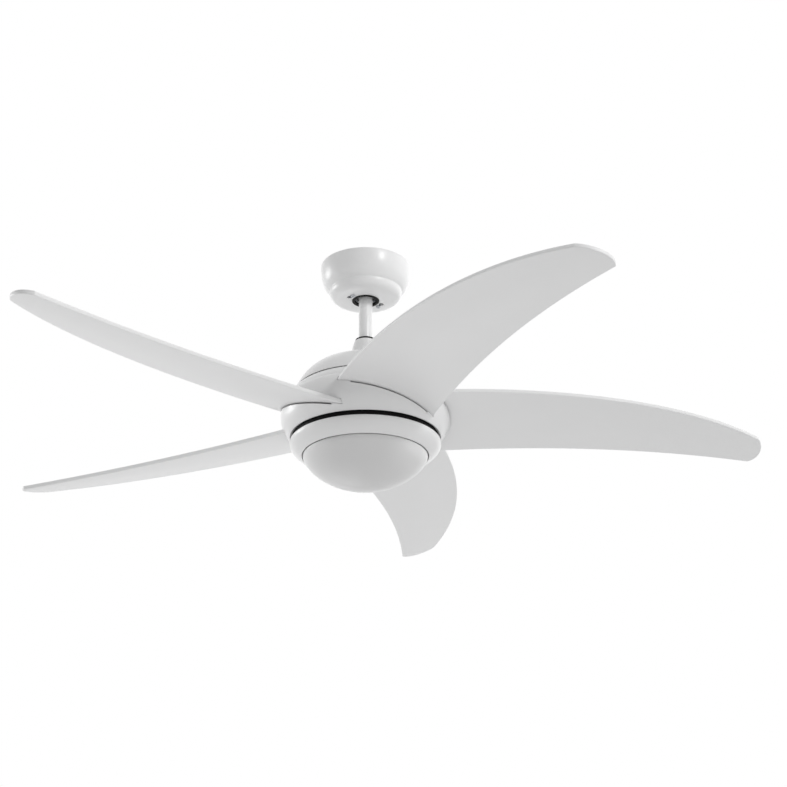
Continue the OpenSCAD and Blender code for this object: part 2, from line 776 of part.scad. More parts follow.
module cover_bush() {
    color("black") spun([[rod_r + 0.2, cover_top - 4], [bush_r - 0.6, cover_top - 4],
        [bush_r, cover_top - 3.4], [bush_r, cover_top + 3], [bush_r - 0.6, cover_top + 3.5],
        [rod_r + 0.2, cover_top + 3.5]]);
}

hanger_bracket();
canopy();
canopy_collar();
canopy_screws();
receiver_box();
terminal_block();
earth_screw();
hanger_ball();
ball_pin();
ball_set_screw();
downrod();
yoke();
yoke_pin();
yoke_clip();
yoke_set_screws();
upper_housing();
upper_housing_screws();
motor_shaft();
stator_core();
stator_windings();
capacitor();
light_kit_plate();
shaft_nut();
light_ring();
light_ring_screws();
lamp_pan();
lamp_pan_screws();
lamp_holder_1();
lamp_holder_2();
bulb_1();
bulb_2();
yoke_cover();
cover_bush();
rotor_housing();
rotor_top_cover();
motor_top_shell();
motor_bottom_shell();
upper_bearing();
lower_bearing();
rotor_cage();
motor_screws();
housing_screws();
bracket_screws();
blade_screws();
blade_bracket(0);  // blade_bracket_1
blade_bracket(1);  // blade_bracket_2
blade_bracket(2);  // blade_bracket_3
blade_bracket(3);  // blade_bracket_4
blade_bracket(4);  // blade_bracket_5
blade(0);  // blade_1
blade(1);  // blade_2
blade(2);  // blade_3
blade(3);  // blade_4
blade(4);  // blade_5
glass_dome();
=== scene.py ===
"""A white five-blade ceiling fan with a glass dome light, seen from below in soft studio light.

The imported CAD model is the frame. Its visible shells, blades and glass are rebuilt here as smooth
meshes in the same places, and its inner parts keep their CAD meshes and get their materials.
Lengths are in metres; MM turns millimetres into metres.
"""
import json
import math

import bmesh
import bpy
from mathutils import Matrix, Vector


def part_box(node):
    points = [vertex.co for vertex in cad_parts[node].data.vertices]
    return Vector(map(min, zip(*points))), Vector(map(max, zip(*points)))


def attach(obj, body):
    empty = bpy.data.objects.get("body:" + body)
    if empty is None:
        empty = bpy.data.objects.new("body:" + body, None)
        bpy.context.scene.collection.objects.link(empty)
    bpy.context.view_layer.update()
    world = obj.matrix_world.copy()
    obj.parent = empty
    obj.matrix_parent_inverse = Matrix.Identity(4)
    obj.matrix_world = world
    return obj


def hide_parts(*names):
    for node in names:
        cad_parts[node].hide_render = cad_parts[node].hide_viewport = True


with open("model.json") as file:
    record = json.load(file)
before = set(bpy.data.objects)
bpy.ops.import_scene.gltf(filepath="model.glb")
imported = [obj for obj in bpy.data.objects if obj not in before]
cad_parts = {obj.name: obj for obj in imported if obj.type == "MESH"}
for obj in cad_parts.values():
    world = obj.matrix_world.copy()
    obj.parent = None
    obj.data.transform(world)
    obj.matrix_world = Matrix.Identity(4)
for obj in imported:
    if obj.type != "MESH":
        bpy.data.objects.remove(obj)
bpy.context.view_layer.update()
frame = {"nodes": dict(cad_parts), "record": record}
MM = 0.001

# ---------------------------------------------------------------- sizes read from the frame


def turned(node):
    """(radius, top, bottom) of a CAD node that is turned about the z axis."""
    low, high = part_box(node)
    return (high.x - low.x) / 2, high.z, low.z


CANOPY_R, _, CANOPY_BOTTOM = turned("canopy")
ROD_R, ROD_TOP, ROD_BOTTOM = turned("downrod")
COVER_R, COVER_TOP, COVER_BOTTOM = turned("yoke_cover")
DOME_R, DOME_TOP, DOME_BOTTOM = turned("upper_housing")
TOP_COVER_R, _, TOP_COVER_BOTTOM = turned("rotor_top_cover")
BELLY_R, BELLY_TOP, BELLY_BOTTOM = turned("rotor_housing")
_, RING_TOP, RING_BOTTOM = turned("light_ring")
GLASS_R, GLASS_TOP, GLASS_BOTTOM = turned("glass_dome")
BUSH_R, BUSH_TOP, BUSH_BOTTOM = turned("cover_bush")
_, BALL_TOP, BALL_BOTTOM = turned("hanger_ball")

BLADE_COUNT = 5
FIRST_BLADE = math.radians(4.4)
BLADE_Z = -274.8 * MM
BLADE_PITCH = math.radians(13.4)
BLADE_RISE = math.radians(0.6)
BLADE_T = 6.5 * MM
SHELL_T = 1.5 * MM
CANOPY_T = 1.2 * MM         # also the yoke cover's
NECK_IN = 6 * MM            # how far the glass dome's neck stands inside its widest radius
ROOT_X = 93 * MM
TIP_X = 640 * MM
LEADING = [(ROOT_X, -88 * MM), (250 * MM, -102 * MM), (480 * MM, -88 * MM), (TIP_X, 19 * MM)]
TRAILING = [(TIP_X - 4 * MM, 83 * MM), (450 * MM, 49 * MM), (270 * MM, 50 * MM),
            (ROOT_X, 73.5 * MM)]

# ---------------------------------------------------------------- camera


def make_camera():
    """The camera stands in front of the fan and below it, and looks up at it."""
    distance = 2.646
    below = math.radians(22.373)        # how far it stands below the blades' plane
    turn = Matrix.Rotation(math.radians(-0.958), 4, "Y")
    tip = Matrix.Rotation(math.radians(1.0), 4, "X")
    roll = Matrix.Rotation(math.radians(0.085), 4, "Z")
    target = Vector((0, 0, BLADE_Z))
    place = target + Vector((0, -distance * math.cos(below), -distance * math.sin(below)))
    aim = (target - place).to_track_quat("-Z", "Y").to_matrix().to_4x4()
    data = bpy.data.cameras.new("camera")
    data.sensor_width = 36
    data.lens = 76.57
    camera = bpy.data.objects.new("camera", data)
    camera.matrix_world = Matrix.Translation(place) @ aim @ turn @ tip @ roll
    bpy.context.scene.collection.objects.link(camera)
    bpy.context.scene.camera = camera


make_camera()

# ---------------------------------------------------------------- materials


class Nodes:
    """A new material's node tree, with short ways to add and link nodes."""

    def __init__(self, name):
        self.material = bpy.data.materials.new(name)
        self.material.use_nodes = True
        self.tree = self.material.node_tree
        self.shader = self.tree.nodes["Principled BSDF"]
        self.place = self.add("ShaderNodeTexCoord").outputs["Object"]

    def add(self, kind, **values):
        node = self.tree.nodes.new(kind)
        for key, value in values.items():
            node.inputs[key.replace("_", " ")].default_value = value
        return node

    def link(self, source, target):
        self.tree.links.new(source, target)

    def set(self, **values):
        for key, value in values.items():
            self.shader.inputs[key.replace("_", " ")].default_value = value

    def noise(self, scale, detail=2.0, stretch=(1, 1, 1)):
        mapping = self.add("ShaderNodeMapping", Scale=stretch)
        self.link(self.place, mapping.inputs["Vector"])
        noise = self.add("ShaderNodeTexNoise", Scale=scale, Detail=detail)
        self.link(mapping.outputs["Vector"], noise.inputs["Vector"])
        return noise.outputs["Fac"]

    def ramp(self, source, low, high, start=0.35, stop=0.65):
        """Maps a noise to a colour or grey value between low and high."""
        ramp = self.add("ShaderNodeValToRGB")
        ramp.color_ramp.elements[0].position = start
        ramp.color_ramp.elements[1].position = stop
        for element, value in zip(ramp.color_ramp.elements, (low, high)):
            element.color = (*value, 1) if hasattr(value, "__len__") else (value,) * 3 + (1,)
        self.link(source, ramp.inputs["Fac"])
        return ramp.outputs["Color"]

    def bump(self, source, height, strength=1.0):
        bump = self.add("ShaderNodeBump", Strength=strength, Distance=height)
        self.link(source, bump.inputs["Height"])
        self.link(bump.outputs["Normal"], self.shader.inputs["Normal"])


def lacquer(name, color, rough, grain, coat, height=0.004 * MM, gloss=0.5):
    """Sprayed paint: a faint orange-peel surface, a little unevenness in gloss and shade."""
    n = Nodes(name)
    shade = tuple(c * 0.993 for c in color)
    n.link(n.ramp(n.noise(6), shade, color, 0.2, 0.8), n.shader.inputs["Base Color"])
    n.link(n.ramp(n.noise(20, 3), rough - 0.015, rough + 0.015, 0.2, 0.8),
           n.shader.inputs["Roughness"])
    n.bump(n.noise(grain, 3), height)
    n.set(Coat_Weight=coat, Coat_Roughness=0.2, Specular_IOR_Level=gloss)
    return n.material


def blade_finish():
    """Satin lacquer over fine fibreboard: flatter than the metal's, with a soft dry grain."""
    n = Nodes("blade_white")
    n.link(n.ramp(n.noise(14, 3), (0.848, 0.849, 0.85), (0.858, 0.859, 0.86), 0.2, 0.8),
           n.shader.inputs["Base Color"])
    n.link(n.ramp(n.noise(60, 4), 0.44, 0.48, 0.2, 0.8), n.shader.inputs["Roughness"])
    n.bump(n.noise(1400, 3), 0.006 * MM)
    return n.material


def opal_glass():
    """Satin-etched opal glass: white all through, soft gloss, very fine etch."""
    n = Nodes("opal_glass")
    n.link(n.ramp(n.noise(12), (0.838, 0.838, 0.838), (0.85, 0.85, 0.85), 0.2, 0.8),
           n.shader.inputs["Base Color"])
    n.link(n.ramp(n.noise(50, 3), 0.34, 0.42), n.shader.inputs["Roughness"])
    n.bump(n.noise(2600, 2), 0.008 * MM)
    n.set(Subsurface_Weight=0.6, Subsurface_Scale=0.02, Subsurface_Radius=(1, 1, 1), IOR=1.5)
    return n.material


def moulded(name, color, rough, grain=700, gloss=0.5):
    """Moulded rubber or plastic: fine spark-eroded texture and slight shade changes."""
    n = Nodes(name)
    lighter = tuple(min(1, c * 1.25 + 0.01) for c in color)
    n.link(n.ramp(n.noise(60, 3), color, lighter), n.shader.inputs["Base Color"])
    n.link(n.ramp(n.noise(120, 3), rough - 0.06, rough + 0.06), n.shader.inputs["Roughness"])
    n.bump(n.noise(grain, 3), 0.03 * MM)
    n.set(Specular_IOR_Level=gloss)
    return n.material


def metal(name, color, rough, stretch=(1, 1, 12), grain=160):
    """Bare metal with drawn or turned marks along one direction."""
    n = Nodes(name)
    darker = tuple(c * 0.82 for c in color)
    marks = n.noise(grain, 4, stretch)
    n.link(n.ramp(marks, darker, color), n.shader.inputs["Base Color"])
    n.link(n.ramp(n.noise(40, 4), rough - 0.07, rough + 0.08), n.shader.inputs["Roughness"])
    n.bump(marks, 0.02 * MM)
    n.set(Metallic=1.0)
    return n.material


def windings():
    """Enamelled copper wire: fine parallel ridges round the coil heads."""
    n = Nodes("copper_winding")
    wave = n.add("ShaderNodeTexWave", Scale=220.0, Distortion=2.0)
    n.link(n.place, wave.inputs["Vector"])
    n.link(n.ramp(wave.outputs["Fac"], (0.28, 0.1, 0.03), (0.6, 0.26, 0.09), 0.2, 0.8),
           n.shader.inputs["Base Color"])
    n.bump(wave.outputs["Fac"], 0.3 * MM)
    n.set(Metallic=0.8, Roughness=0.35)
    return n.material


MATERIALS = {
    "white_paint": lacquer("white_paint", (0.85, 0.851, 0.852), 0.36, 750, 0.2),
    "reflector_white": lacquer("reflector_white", (0.88, 0.88, 0.88), 0.2, 500, 0.5),
    "blade_white": blade_finish(),
    "opal_glass": opal_glass(),
    "bulb_white": lacquer("bulb_white", (0.86, 0.86, 0.84), 0.3, 1500, 0.0),
    "black_rubber": moulded("black_rubber", (0.006, 0.006, 0.006), 0.6, gloss=0.15),
    "black_plastic": moulded("black_plastic", (0.018, 0.018, 0.02), 0.38),
    "black_paint": lacquer("black_paint", (0.006, 0.006, 0.006), 0.6, 900, 0.0, gloss=0.1),
    "ivory_plastic": moulded("ivory_plastic", (0.72, 0.69, 0.6), 0.4),
    "brass": metal("brass", (0.72, 0.52, 0.22), 0.3),
    "zinc_steel": metal("zinc_steel", (0.62, 0.64, 0.67), 0.32, (1, 1, 1), 300),
    "bracket_steel": metal("bracket_steel", (0.5, 0.52, 0.55), 0.42, (1, 8, 1)),
    "bearing_steel": metal("bearing_steel", (0.6, 0.6, 0.62), 0.22, (1, 1, 20)),
    # cast aluminium is given a much darker base than bare cast metal: partly its real dull as-cast
    # finish, partly painted shade so the motor seen through the gap under the rotor housing reads
    # dark
    "cast_aluminium": metal("cast_aluminium", (0.36, 0.365, 0.37), 0.6, (1, 1, 1), 400),
    "lamination_steel": metal("lamination_steel", (0.16, 0.17, 0.19), 0.5, (1, 1, 30)),
    "copper_winding": windings(),
}
SLOT_OF = {part["node"]: part["material_slot"] for part in frame["record"]["subparts"]}
for node_name, node_object in frame["nodes"].items():
    node_object.data.materials.clear()
    node_object.data.materials.append(MATERIALS[SLOT_OF[node_name]])

# ---------------------------------------------------------------- mesh tools

SHARP = 32      # faces that meet at more than this many degrees keep a sharp edge


def bezier(p, n=24):
    """n + 1 points on the cubic curve through four control points."""
    p = [Vector(q) for q in p]
    points = []
    for i in range(n + 1):
        t = i / n
        s = 1 - t
        points.append(s ** 3 * p[0] + 3 * s * s * t * p[1] + 3 * s * t * t * p[2] + t ** 3 * p[3])
    return points


def shifted(p, dr=0.0, dz=0.0):
    return [(q[0] + dr, q[1] + dz) for q in p]


def softened(loop, radius, closed=True, steps=4, least=math.radians(24)):
    """Rounds each corner of an outline that turns by more than least."""
    loop = [Vector(q) for q in loop]
    out = []
    for i, corner in enumerate(loop):
        if not closed and i in (0, len(loop) - 1):
            out.append(corner)
            continue
        before = loop[i - 1] - corner
        after = loop[(i + 1) % len(loop)] - corner
        turn = math.pi - before.angle(after, math.pi)
        if turn < least:
            out.append(corner)
            continue
        cut = min(radius * math.tan(turn / 2), before.length * 0.45, after.length * 0.45)
        a = corner + before.normalized() * cut
        b = corner + after.normalized() * cut
        for k in range(steps + 1):
            t = k / steps
            out.append((1 - t) ** 2 * a + 2 * t * (1 - t) * corner + t * t * b)
    return out


def new_object(name, mesh, sharp=SHARP):
    mesh.polygons.foreach_set("use_smooth", [True] * len(mesh.polygons))
    mesh.set_sharp_from_angle(angle=math.radians(sharp))
    obj = bpy.data.objects.new(name, mesh)
    bpy.context.scene.collection.objects.link(obj)
    return obj


def to_mesh(bm, name):
    bmesh.ops.recalc_face_normals(bm, faces=bm.faces)
    mesh = bpy.data.meshes.new(name)
    bm.to_mesh(mesh)
    bm.free()
    return mesh


def revolve(bm, loop, start=0.0, sweep=math.tau, steps=192):
    """Turns a closed outline of (radius, height) points about the z axis into bm."""
    full = abs(sweep - math.tau) < 1e-6
    rings = []
    for k in range(steps if full else steps + 1):
        a = start + sweep * k / steps
        rings.append([bm.verts.new((q[0] * math.cos(a), q[0] * math.sin(a), q[1]))
                      for q in loop])
    for k in range(steps):
        one, two = rings[k], rings[(k + 1) % len(rings)]
        for i in range(len(loop)):
            j = (i + 1) % len(loop)
            bm.faces.new((one[i], two[i], two[j], one[j]))
    if not full:
        bm.faces.new(rings[0])
        bm.faces.new(rings[-1][::-1])


def lathe(name, loop, steps=192):
    bm = bmesh.new()
    revolve(bm, loop, steps=steps)
    bmesh.ops.remove_doubles(bm, verts=bm.verts, dist=1e-6)
    return new_object(name, to_mesh(bm, name))


def prism(bm, outline, low, high, matrix=Matrix()):
    """A straight-sided solid between two heights, placed by matrix, added to bm."""
    bottom = [bm.verts.new(matrix @ Vector((q[0], q[1], low))) for q in outline]
    top = [bm.verts.new(matrix @ Vector((q[0], q[1], high))) for q in outline]
    bm.faces.new(bottom[::-1])
    bm.faces.new(top)
    for i in range(len(outline)):
        j = (i + 1) % len(outline)
        bm.faces.new((bottom[i], bottom[j], top[j], top[i]))


def carve(obj, build):
    """Cuts out of obj the solids that build(bm) makes."""
    bm = bmesh.new()
    build(bm)
    cutter = bpy.data.objects.new("cutter", to_mesh(bm, "cutter"))
    bpy.context.scene.collection.objects.link(cutter)
    cut = obj.modifiers.new("cut", "BOOLEAN")
    cut.object = cutter
    cut.operation = "DIFFERENCE"
    cut.solver = "EXACT"
    apply_modifiers(obj)
    bpy.data.objects.remove(cutter)
    obj.data.set_sharp_from_angle(angle=math.radians(SHARP))


def apply_modifiers(obj):
    depsgraph = bpy.context.evaluated_depsgraph_get()
    mesh = bpy.data.meshes.new_from_object(obj.evaluated_get(depsgraph))
    obj.modifiers.clear()
    old, obj.data = obj.data, mesh
    bpy.data.meshes.remove(old)


BODY_OF = {node: body for body, nodes in frame["record"]["behaviour"]["bodies"].items()
           for node in nodes}


def finished(obj, node):
    """Gives a piece its material, lets it ride and hides the CAD node that it stands for."""
    slot = SLOT_OF[node]
    obj.data.materials.clear()
    obj.data.materials.append(MATERIALS[slot])
    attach(obj, BODY_OF[node])
    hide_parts(node)
    return obj


# ---------------------------------------------------------------- canopy and downrod


def make_canopy():
    dish_r = CANOPY_R - 14.6 * MM
    wall = CANOPY_T
    hole_r = 20 * MM
    b = CANOPY_BOTTOM
    bowl = [(CANOPY_R, 0), (CANOPY_R, -22 * MM), (CANOPY_R - 3.5 * MM, -34 * MM),
            (dish_r + 2.5 * MM, b + 18 * MM)]
    dish = [(dish_r, b + 16.2 * MM), (dish_r, b + 4 * MM), (dish_r - 8 * MM, b),
            (dish_r - 25 * MM, b)]
    step = 3 * MM
    least = math.radians(14)
    outer = softened(bezier(bowl, 12) + bezier(dish, 12) + [Vector((hole_r, b))], step,
                     closed=False, steps=8, least=least)
    inner = softened(bezier(shifted(bowl, -wall), 12) + bezier(shifted(dish, -wall, wall), 12)
                     + [Vector((hole_r, b + wall))], step, closed=False, steps=8, least=least)
    canopy = lathe("canopy", softened(outer + inner[::-1], 0.4 * MM), 256)

    def keyholes(bm):
        for turn in (0, math.pi):
            prism(bm, keyhole(), b - 3 * MM, b + 4 * MM, Matrix.Rotation(turn, 4, "Z"))

    carve(canopy, keyholes)
    return finished(canopy, "canopy")


def keyhole(radius=28.5 * MM, wide=4.4 * MM, narrow=2.3 * MM, n=10):
    """A round hole that a screw's head fits, with a narrow neck that curves round to the screw."""
    hole_at = math.radians(26)
    screw_at = math.radians(44)
    meet = math.asin(narrow / wide)
    centre = Vector((radius * math.cos(hole_at), radius * math.sin(hole_at)))
    end = Vector((radius * math.cos(screw_at), radius * math.sin(screw_at)))
    points = []
    for i in range(3 * n + 1):
        a = hole_at + math.pi / 2 + meet + (math.tau - 2 * meet) * i / (3 * n)
        points.append(centre + wide * Vector((math.cos(a), math.sin(a))))
    start = hole_at + wide * math.cos(meet) / radius
    for i in range(1, n + 1):
        a = start + (screw_at - start) * i / n
        points.append((radius + narrow) * Vector((math.cos(a), math.sin(a))))
    for i in range(1, n):
        a = screw_at + math.pi * i / n
        points.append(end + narrow * Vector((math.cos(a), math.sin(a))))
    for i in range(n, 0, -1):
        a = start + (screw_at - start) * i / n
        points.append((radius - narrow) * Vector((math.cos(a), math.sin(a))))
    return points


def make_collar():
    r, top, bottom = turned("canopy_collar")
    neck = 19.8 * MM
    bore = 17.5 * MM
    flange = CANOPY_BOTTOM
    loop = [(bore, bottom), (r - 0.3 * MM, bottom), (r, flange), (neck, flange), (neck, top),
            (bore, top)]
    return finished(lathe("canopy_collar", softened(loop, 0.45 * MM), 128), "canopy_collar")


def make_downrod():
    bore = 8.5 * MM
    loop = [(bore, ROD_BOTTOM), (ROD_R, ROD_BOTTOM), (ROD_R, ROD_TOP), (bore, ROD_TOP)]
    return finished(lathe("downrod", softened(loop, 0.6 * MM), 128), "downrod")


def make_ball():
    centre = -38 * MM
    full_r = 23 * MM
    bore = ROD_R + 0.05 * MM
    low = math.asin((BALL_BOTTOM - centre) / full_r)
    high = math.asin((BALL_TOP - centre) / full_r)
    n = 32
    loop = [(bore, BALL_BOTTOM)]
    for i in range(n + 1):
        a = low + (high - low) * i / n
        loop.append((full_r * math.cos(a), centre + full_r * math.sin(a)))
    loop.append((bore, BALL_TOP))
    return finished(lathe("hanger_ball", softened(loop, 0.4 * MM), 128), "hanger_ball")


def make_yoke_cover():
    wall = CANOPY_T
    side = [(BUSH_R + 1.2 * MM, COVER_TOP), (20 * MM, COVER_TOP - 2.5 * MM),
            (22.5 * MM, COVER_TOP - 21.5 * MM), (COVER_R, COVER_BOTTOM)]
    inner = [(side[0][0] - 0.4 * MM, side[0][1] - 1.6 * MM),
             (side[1][0] - wall - 0.6 * MM, side[1][1] - 1.6 * MM),
             (side[2][0] - wall, side[2][1] - 0.4 * MM), (side[3][0] - wall, side[3][1])]
    lip = BUSH_R + 0.1 * MM
    loop = ([Vector((lip, COVER_TOP))] + bezier(side, 28) + bezier(inner, 28)[::-1]
            + [Vector((lip, COVER_TOP - 1.6 * MM))])
    return finished(lathe("yoke_cover", softened(loop, 0.5 * MM), 160), "yoke_cover")


def make_cover_bush():
    bore = ROD_R + 0.2 * MM
    loop = [(bore, BUSH_BOTTOM), (BUSH_R, BUSH_BOTTOM), (BUSH_R, BUSH_TOP), (bore, BUSH_TOP)]
    return finished(lathe("cover_bush", softened(loop, 0.7 * MM), 128), "cover_bush")


# ---------------------------------------------------------------- housings


def make_upper_housing():
    vents = 24
    hole = 16.3 * MM
    t = SHELL_T
    side = [(44 * MM, DOME_TOP), (78 * MM, DOME_TOP), (101 * MM, -196 * MM),
            (DOME_R, DOME_BOTTOM)]
    inner = [(side[0][0], side[0][1] - t), (side[1][0] - 0.5 * MM, side[1][1] - t),
             (side[2][0] - 1.3 * MM, side[2][1] - 0.8 * MM), (side[3][0] - t, side[3][1])]
    loop = ([Vector((hole, DOME_TOP))] + bezier(side, 40) + bezier(inner, 40)[::-1]
            + [Vector((hole, DOME_TOP - t))])
    dome = lathe("upper_housing", softened(loop, 0.5 * MM), 320)

    def vent_slots(bm):
        inside, outside, half = 58 * MM, 75 * MM, 2 * MM
        outline = []
        for i in range(13):
            a = -math.pi / 2 + math.pi * i / 12
            outline.append((outside + half * math.cos(a), half * math.sin(a)))
        for i in range(13):
            a = math.pi / 2 + math.pi * i / 12
            outline.append((inside + half * math.cos(a), half * math.sin(a)))
        for k in range(vents):
            place = Matrix.Rotation(math.tau * (k + 0.5) / vents, 4, "Z")
            prism(bm, outline, DOME_TOP - 16 * MM, DOME_TOP + 4 * MM, place)

    carve(dome, vent_slots)
    return finished(dome, "upper_housing")


def make_top_cover():
    t = SHELL_T
    seam_r = DOME_R
    web_in = 84.6 * MM
    web_top = -224.5 * MM
    rim = BELLY_TOP + 0.6 * MM
    lip_r = TOP_COVER_R - 0.8 * MM
    side = [(seam_r + 0.6 * MM, DOME_BOTTOM - 2.5 * MM), (118 * MM, -230 * MM),
            (122 * MM, -235 * MM), (TOP_COVER_R, rim)]
    inner = [(side[0][0] - 0.2 * MM, side[0][1] - 2.1 * MM),
             (side[1][0] - 1.4 * MM, side[1][1] - 0.9 * MM),
             (side[2][0] - 1.4 * MM, side[2][1] - 0.7 * MM), (lip_r - t, BELLY_TOP + 0.4 * MM)]
    loop = ([Vector((web_in, web_top)), Vector((seam_r - 2 * MM, web_top))] + bezier(side, 20)
            + [Vector((TOP_COVER_R, BELLY_TOP + 0.1 * MM)), Vector((lip_r, BELLY_TOP + 0.1 * MM)),
               Vector((lip_r, TOP_COVER_BOTTOM)), Vector((lip_r - t, TOP_COVER_BOTTOM))]
            + bezier(inner, 20)[::-1]
            + [Vector((seam_r - 2 * MM, web_top - t)), Vector((web_in, web_top - t))])
    return finished(lathe("rotor_top_cover", softened(loop, 0.35 * MM), 320), "rotor_top_cover")


def blade_matrix(k):
    """Places blade k's own plane: x along the blade, y towards its trailing edge."""
    return (Matrix.Rotation(FIRST_BLADE + math.tau * k / BLADE_COUNT, 4, "Z")
            @ Matrix.Translation((0, 0, BLADE_Z)) @ Matrix.Rotation(-BLADE_RISE, 4, "Y")
            @ Matrix.Rotation(-BLADE_PITCH, 4, "X"))


def slot_outline():
    """The blade's outline near its root, moved half a millimetre out on both sides."""
    clear = 0.5 * MM
    end = 150 * MM
    return ([(q.x, q.y - clear) for q in bezier(LEADING, 48) if q.x < end]
            + [(q.x, q.y + clear) for q in bezier(TRAILING, 48) if q.x < end])


def make_belly():
    t = SHELL_T
    crease_r = 125.5 * MM
    waist = -270 * MM
    bottom_r = 119.3 * MM
    hub = -276 * MM
    upper = [(crease_r, BELLY_TOP), (130.8 * MM, -245 * MM), (BELLY_R, -255 * MM),
             (BELLY_R, waist)]
    lower = [(BELLY_R, waist), (BELLY_R, -282 * MM), (127 * MM, -294 * MM),
             (bottom_r, BELLY_BOTTOM)]
    floor_z = BELLY_BOTTOM + 2.7 * MM
    inner_lower = [(lower[0][0] - t, waist), (lower[1][0] - t, lower[1][1]),
                   (lower[2][0] - t, lower[2][1] + 0.9 * MM),
                   (bottom_r - 0.8 * MM, BELLY_BOTTOM + t)]
    outer = bezier(upper, 24) + bezier(lower, 28)[1:]
    # the lining stops at the floor, which stands a little above the skirt's lower edge
    lining = [q for q in bezier(inner_lower, 28)[1:] if q.y > floor_z + t]
    inner = bezier(shifted(upper, -t), 24) + lining
    floor = [(bottom_r - 1.6 * MM, BELLY_BOTTOM), (bottom_r + 0.6 * MM, floor_z),
             (99 * MM, floor_z), (62 * MM, hub), (30 * MM, hub), (30 * MM, hub + t),
             (61.3 * MM, hub + t), (98.3 * MM, floor_z + t)]
    loop = outer + [Vector(q) for q in floor] + inner[::-1]
    belly = lathe("rotor_housing", softened(loop, 0.5 * MM), 384)

    def blade_slots(bm):
        for k in range(BLADE_COUNT):
            prism(bm, slot_outline(), -BLADE_T / 2 - 0.5 * MM, BLADE_T / 2 + 0.5 * MM,
                  blade_matrix(k))

    def slits(bm):
        low, high, start, end = -72 * MM, 58 * MM, 93 * MM, 150 * MM
        slit = [(start, low), (end, low), (end, high), (start, high)]
        for k in range(BLADE_COUNT):
            prism(bm, slit, -BLADE_T / 2 - 2.5 * MM, -BLADE_T / 2, blade_matrix(k))

    carve(belly, blade_slots)
    carve(belly, slits)
    return finished(belly, "rotor_housing")


# ---------------------------------------------------------------- blades


def blade_outline():
    """The blade's edge, from the root's leading corner round the tip to the trailing corner."""
    end = [(TIP_X, 19 * MM), (TIP_X + 12 * MM, 28 * MM), (TIP_X + 24 * MM, 72 * MM),
           (TIP_X - 1 * MM, 83.5 * MM)]
    return bezier(LEADING, 64) + bezier(end, 28)[1:] + bezier(TRAILING, 64)


def make_blade(k):
    """A flat board with softly rounded edges, swept and slightly hollow-edged in plan."""
    edge = 1.6 * MM
    steps = 4
    outline = [Vector(q) for q in softened(blade_outline(), 2.5 * MM)]
    count = len(outline)
    inward = []
    for i in range(count):
        along = (outline[(i + 1) % count] - outline[i - 1]).normalized()
        inward.append(Vector((-along.y, along.x)))
    bm = bmesh.new()
    matrix = blade_matrix(k)
    half = BLADE_T / 2
    layers = []
    for side in (-1, 1):
        for step in range(steps + 1):
            a = (math.pi / 2) * (step / steps if side > 0 else 1 - step / steps)
            inset = edge * (1 - math.cos(a))
            height = side * (half - edge + edge * math.sin(a))
            layers.append([bm.verts.new(matrix @ Vector((*(p + n * inset), height)))
                           for p, n in zip(outline, inward)])
    for one, two in zip(layers, layers[1:]):
        for i in range(count):
            j = (i + 1) % count
            bm.faces.new((one[i], one[j], two[j], two[i]))
    bm.faces.new(layers[0][::-1])
    bm.faces.new(layers[-1])
    blade = new_object(f"blade_{k + 1}", to_mesh(bm, f"blade_{k + 1}"), 60)
    return finished(blade, f"blade_{k + 1}")


# ---------------------------------------------------------------- light


def make_light_ring():
    t = SHELL_T
    wall_r = GLASS_R - 1.6 * MM
    neck_r = GLASS_R - NECK_IN
    shelf = RING_TOP - 12 * MM
    ring_r = 119 * MM
    side = [(ring_r, RING_TOP - 1 * MM), (ring_r + 2 * MM, RING_TOP - 8 * MM),
            (ring_r - 8 * MM, RING_TOP - 17.5 * MM), (GLASS_R + 1.3 * MM, RING_BOTTOM)]
    inner = [(side[0][0] - 2.2 * MM, side[0][1] - 0.5 * MM),
             (side[1][0] - 1.8 * MM, side[1][1] + 0.5 * MM),
             (side[2][0] - 1.2 * MM, side[2][1] + 1 * MM),
             (side[3][0] - 0.2 * MM, side[3][1] + 1.6 * MM)]
    loop = ([Vector((wall_r, RING_TOP)), Vector((ring_r - 0.8 * MM, RING_TOP))]
            + bezier(side, 32) + bezier(inner, 32)[::-1]
            + [Vector((wall_r + t, RING_TOP - t)), Vector((wall_r + t, shelf - t)),
               Vector((wall_r, shelf - t))])
    bm = bmesh.new()
    revolve(bm, softened(loop, 0.5 * MM), steps=288)
    shelf_loop = [(neck_r + 1 * MM, shelf - t), (wall_r + 0.2 * MM, shelf - t),
                  (wall_r + 0.2 * MM, shelf), (neck_r + 1 * MM, shelf)]
    for i in range(3):
        revolve(bm, shelf_loop, math.radians(120 * i - 15), math.radians(90), 48)
    return finished(new_object("light_ring", to_mesh(bm, "light_ring")), "light_ring")


